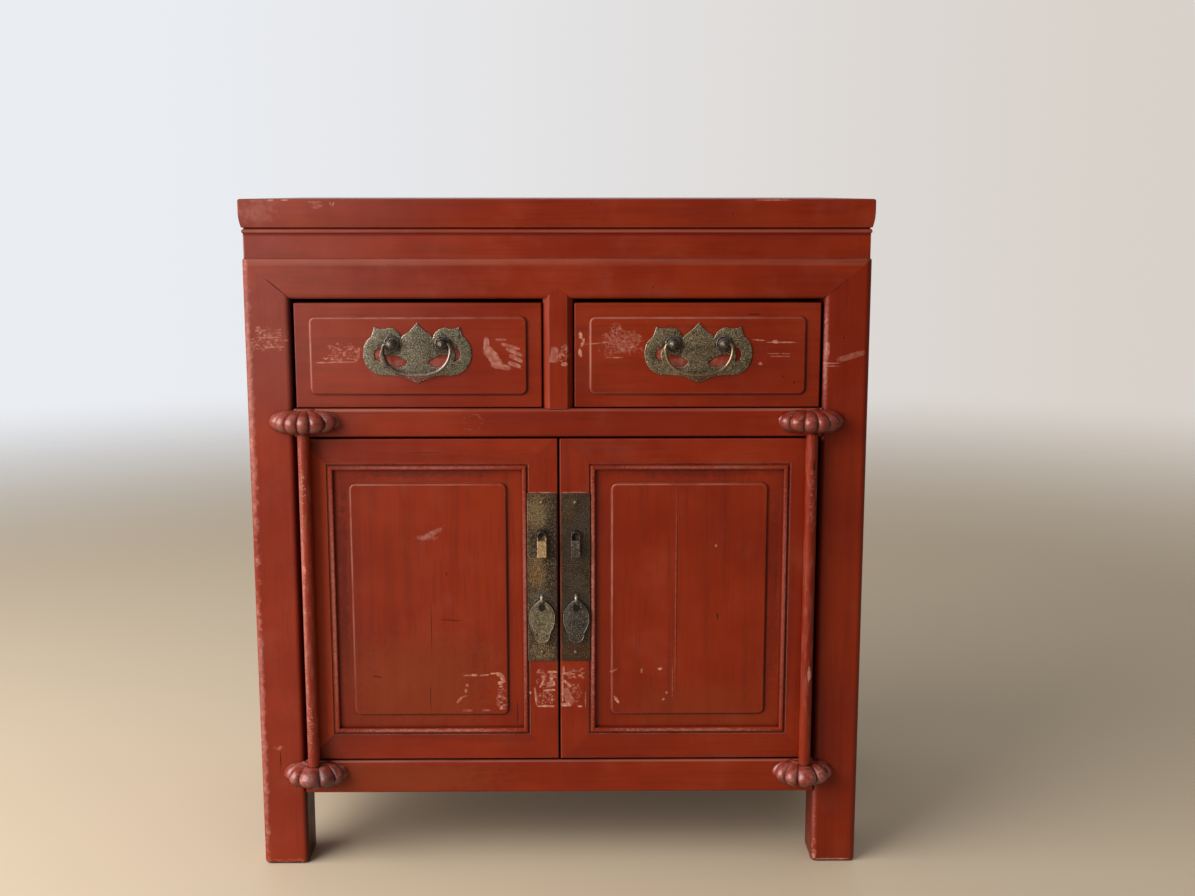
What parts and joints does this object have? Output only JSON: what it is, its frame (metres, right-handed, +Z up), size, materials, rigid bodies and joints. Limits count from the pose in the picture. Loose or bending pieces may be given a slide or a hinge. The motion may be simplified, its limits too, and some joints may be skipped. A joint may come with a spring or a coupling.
{
  "type": "kang cabinet",
  "caption": "Low waisted cabinet of lacquered wood: drawers with bat-plate bails over a cupboard whose doors swing on wooden poles in lobed bosses, with lock plates and leaf pendants.",
  "frame": {"origin": "on the floor, at the middle of the whole object's footprint", "axes": "+Z up, -Y out of the front with the doors and drawers, +X to the right of a person facing the front"},
  "size_m": [0.741, 0.434, 0.82],
  "materials": {
    "lacquered_wood": "worn red-brown lacquer, satin, darker in the recesses and paler on worn edges",
    "bare_wood": "planed softwood, aged and unlacquered",
    "lock_plate_brass": "patinated sheet brass, dull olive brown",
    "aged_brass": "rubbed brass with a grey-green patina"
  },
  "bodies": {
    "carcass": {"front_left_leg": "lacquered_wood", "front_right_leg": "lacquered_wood", "back_left_leg": "lacquered_wood", "back_right_leg": "lacquered_wood", "top_frame": "lacquered_wood", "top_panel": "lacquered_wood", "top_battens": "bare_wood", "waist_frieze": "lacquered_wood", "front_top_rail": "lacquered_wood", "drawer_divider": "lacquered_wood", "middle_rail": "lacquered_wood", "bottom_rail": "lacquered_wood", "side_rails": "lacquered_wood", "back_rails": "bare_wood", "left_side_panel": "lacquered_wood", "right_side_panel": "lacquered_wood", "back_panels": "bare_wood", "cabinet_floor": "bare_wood", "drawer_runners": "bare_wood", "door_stops": "bare_wood", "upper_left_boss": "lacquered_wood", "upper_right_boss": "lacquered_wood", "lower_left_boss": "lacquered_wood", "lower_right_boss": "lacquered_wood"},
    "left_door": {"left_pivot_stile": "lacquered_wood", "left_lock_stile": "lacquered_wood", "left_top_rail": "lacquered_wood", "left_bottom_rail": "lacquered_wood", "left_panel": "lacquered_wood", "left_face_plate": "lock_plate_brass", "left_plate_nails": "aged_brass", "left_lock_staple": "aged_brass", "left_pendant_eye": "aged_brass"},
    "left_pendant": {"left_pendant": "aged_brass"},
    "right_door": {"right_pivot_stile": "lacquered_wood", "right_lock_stile": "lacquered_wood", "right_top_rail": "lacquered_wood", "right_bottom_rail": "lacquered_wood", "right_panel": "lacquered_wood", "right_face_plate": "lock_plate_brass", "right_plate_nails": "aged_brass", "right_lock_staple": "aged_brass", "right_pendant_eye": "aged_brass"},
    "right_pendant": {"right_pendant": "aged_brass"},
    "left_drawer": {"left_drawer_front": "lacquered_wood", "left_drawer_sides": "bare_wood", "left_drawer_back": "bare_wood", "left_drawer_bottom": "bare_wood", "left_bail_plate": "aged_brass", "left_bail_plate_nails": "aged_brass", "left_bail_posts": "aged_brass"},
    "left_bail": {"left_bail": "aged_brass"},
    "right_drawer": {"right_drawer_front": "lacquered_wood", "right_drawer_sides": "bare_wood", "right_drawer_back": "bare_wood", "right_drawer_bottom": "bare_wood", "right_bail_plate": "aged_brass", "right_bail_plate_nails": "aged_brass", "right_bail_posts": "aged_brass"},
    "right_bail": {"right_bail": "aged_brass"}
  },
  "joints": [
    {"name": "left_door_hinge", "type": "hinge", "parent": "carcass", "child": "left_door", "pos_m": [-0.301, -0.196, 0.338], "axis": [0, 0, -1], "range_deg": [0, 180]},
    {"name": "left_pendant_hinge", "type": "hinge", "parent": "left_door", "child": "left_pendant", "pos_m": [-0.0208, -0.1869, 0.3422], "axis": [-1, 0, 0], "range_deg": [0, 150]},
    {"name": "left_drawer_slide", "type": "slide", "parent": "carcass", "child": "left_drawer", "axis": [0, -1, 0], "range_m": [0, 0.26]},
    {"name": "left_bail_hinge", "type": "hinge", "parent": "left_drawer", "child": "left_bail", "pos_m": [-0.166, -0.1922, 0.6515], "axis": [-1, 0, 0], "range_deg": [0, 170]},
    {"name": "right_door_hinge", "type": "hinge", "parent": "carcass", "child": "right_door", "pos_m": [0.301, -0.196, 0.338], "axis": [0, 0, 1], "range_deg": [0, 180]},
    {"name": "right_pendant_hinge", "type": "hinge", "parent": "right_door", "child": "right_pendant", "pos_m": [0.0208, -0.1869, 0.3422], "axis": [-1, 0, 0], "range_deg": [0, 150]},
    {"name": "right_drawer_slide", "type": "slide", "parent": "carcass", "child": "right_drawer", "axis": [0, -1, 0], "range_m": [0, 0.26]},
    {"name": "right_bail_hinge", "type": "hinge", "parent": "right_drawer", "child": "right_bail", "pos_m": [0.166, -0.1922, 0.6515], "axis": [-1, 0, 0], "range_deg": [0, 170]}
  ]
}
